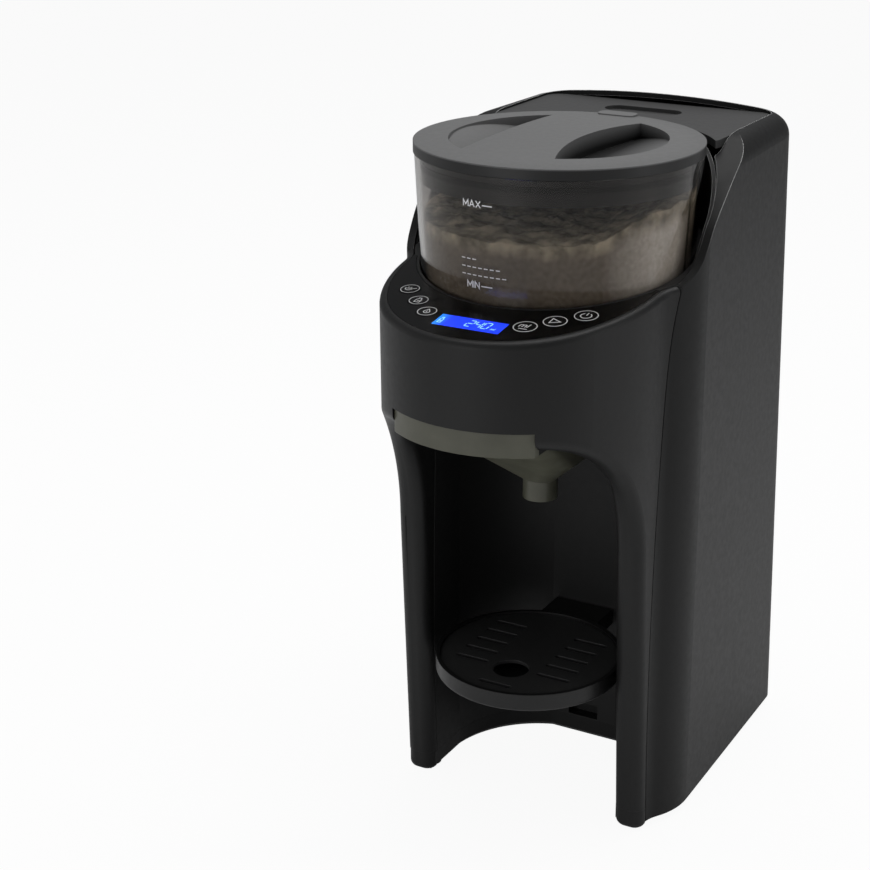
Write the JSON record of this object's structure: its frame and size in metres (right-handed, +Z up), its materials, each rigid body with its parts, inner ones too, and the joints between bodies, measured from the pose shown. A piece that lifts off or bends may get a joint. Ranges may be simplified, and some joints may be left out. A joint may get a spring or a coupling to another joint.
{
  "type": "baby formula maker",
  "caption": "Countertop baby formula maker: powder jar with stirring wheel on a dosing head, touch panel, mixing funnel over a bottle bay with a drip tray, and a water tank behind.",
  "frame": {"origin": "on the ground under the middle of the machine's bounding box", "axes": "+Z up, -Y towards the front, +X to the right as seen from the front"},
  "size_m": [0.172, 0.267, 0.3766],
  "materials": {
    "black_housing": "fine satin texture",
    "charcoal_shell": "satin",
    "grey_lid": "satin",
    "smoke_clear": "polished, tinted clear plastic",
    "clear_grey": "translucent plastic",
    "powder": "dry powder",
    "gloss_black": "polished",
    "button_black": "satin caps with printed symbols",
    "tray_black": "satin",
    "white_plastic": "moulded acetal",
    "grey_plastic": "moulded",
    "silicone": "translucent silicone",
    "black_rubber": "matt",
    "motor_steel": "brushed",
    "zinc_steel": "zinc plated",
    "bronze": "sintered",
    "green_board": "solder mask"
  },
  "bodies": {
    "housing": {"front_housing": "black_housing", "rear_shell": "charcoal_shell", "bay_liner": "black_housing", "base_plate": "black_housing", "foot_pads": "black_rubber", "jar_seat": "black_housing", "niche_wall": "charcoal_shell", "powder_chute": "white_plastic", "drive_bush": "bronze", "gear_motor": "motor_steel", "motor_screws": "zinc_steel", "tank_shelf": "grey_plastic", "tank_socket": "white_plastic", "socket_seal": "silicone", "control_panel": "gloss_black", "display_window": "gloss_black", "display_module": "grey_plastic", "tact_switches": "green_board", "button_board": "green_board", "panel_screws": "zinc_steel", "tie_rods": "zinc_steel", "base_screws": "zinc_steel", "water_pump": "grey_plastic", "water_heater": "motor_steel", "suction_hose": "silicone", "heater_hose": "silicone", "nozzle_hose": "silicone", "water_nozzle": "grey_plastic", "main_board": "green_board", "power_inlet": "grey_plastic"},
    "jar": {"powder_jar": "smoke_clear", "powder": "powder"},
    "lid": {"jar_lid": "grey_lid", "lid_seal": "silicone"},
    "wheel": {"powder_wheel": "white_plastic"},
    "drive": {"drive_gear": "white_plastic"},
    "pinion": {"motor_pinion": "white_plastic"},
    "funnel_body": {"funnel": "clear_grey", "funnel_cover": "clear_grey"},
    "tray": {"drip_tray": "tray_black"},
    "grate": {"tray_grate": "tray_black"},
    "tank": {"water_tank": "smoke_clear"},
    "tank_cover": {"tank_lid": "charcoal_shell"},
    "valve": {"tank_valve": "white_plastic"},
    "unit_button_cap": {"unit_button": "button_black"},
    "start_button_cap": {"start_button": "button_black"},
    "power_button_cap": {"power_button": "button_black"},
    "temperature_button_cap": {"temperature_button": "button_black"},
    "volume_button_cap": {"volume_button": "button_black"},
    "scoop_button_cap": {"scoop_button": "button_black"}
  },
  "joints": [
    {"name": "jar_lift", "type": "slide", "parent": "housing", "child": "jar", "axis": [0, 0, 1], "range_m": [0, 0.12]},
    {"name": "lid_lift", "type": "slide", "parent": "jar", "child": "lid", "axis": [0, 0, 1], "range_m": [0, 0.08]},
    {"name": "wheel_spin", "type": "hinge", "parent": "jar", "child": "wheel", "pos_m": [0, -0.0165, 0.2993], "axis": [0, 0, 1], "continuous": true},
    {"name": "drive_spin", "type": "hinge", "parent": "housing", "child": "drive", "pos_m": [0, -0.0165, 0.262], "axis": [0, 0, 1], "continuous": true},
    {"name": "pinion_spin", "type": "hinge", "parent": "housing", "child": "pinion", "pos_m": [0, 0.0435, 0.262], "axis": [0, 0, 1], "continuous": true},
    {"name": "funnel_slide", "type": "slide", "parent": "housing", "child": "funnel_body", "axis": [0, -1, 0], "range_m": [0, 0.13]},
    {"name": "tray_slide", "type": "slide", "parent": "housing", "child": "tray", "axis": [0, -1, 0], "range_m": [0, 0.11]},
    {"name": "grate_lift", "type": "slide", "parent": "tray", "child": "grate", "axis": [0, 0, 1], "range_m": [0, 0.06]},
    {"name": "tank_lift", "type": "slide", "parent": "housing", "child": "tank", "axis": [0, 0, 1], "range_m": [0, 0.24]},
    {"name": "tank_lid_lift", "type": "slide", "parent": "tank", "child": "tank_cover", "axis": [0, 0, 1], "range_m": [0, 0.06]},
    {"name": "valve_lift", "type": "slide", "parent": "tank", "child": "valve", "axis": [0, 0, 1], "range_m": [0, 0.003], "stiffness_N_per_m": 60},
    {"name": "unit_button_press", "type": "slide", "parent": "housing", "child": "unit_button_cap", "axis": [0, 0.1426, -0.9898], "range_m": [0, 0.0006], "stiffness_N_per_m": 400},
    {"name": "start_button_press", "type": "slide", "parent": "housing", "child": "start_button_cap", "axis": [0, 0.1426, -0.9898], "range_m": [0, 0.0006], "stiffness_N_per_m": 400},
    {"name": "power_button_press", "type": "slide", "parent": "housing", "child": "power_button_cap", "axis": [0, 0.1426, -0.9898], "range_m": [0, 0.0006], "stiffness_N_per_m": 400},
    {"name": "temperature_button_press", "type": "slide", "parent": "housing", "child": "temperature_button_cap", "axis": [0, 0.1426, -0.9898], "range_m": [0, 0.0006], "stiffness_N_per_m": 400},
    {"name": "volume_button_press", "type": "slide", "parent": "housing", "child": "volume_button_cap", "axis": [0, 0.1426, -0.9898], "range_m": [0, 0.0006], "stiffness_N_per_m": 400},
    {"name": "scoop_button_press", "type": "slide", "parent": "housing", "child": "scoop_button_cap", "axis": [0, 0.1426, -0.9898], "range_m": [0, 0.0006], "stiffness_N_per_m": 400}
  ],
  "couplings": [
    {"joint": "wheel_spin", "follows": "drive_spin", "ratio": 1},
    {"joint": "pinion_spin", "follows": "drive_spin", "ratio": -3}
  ]
}
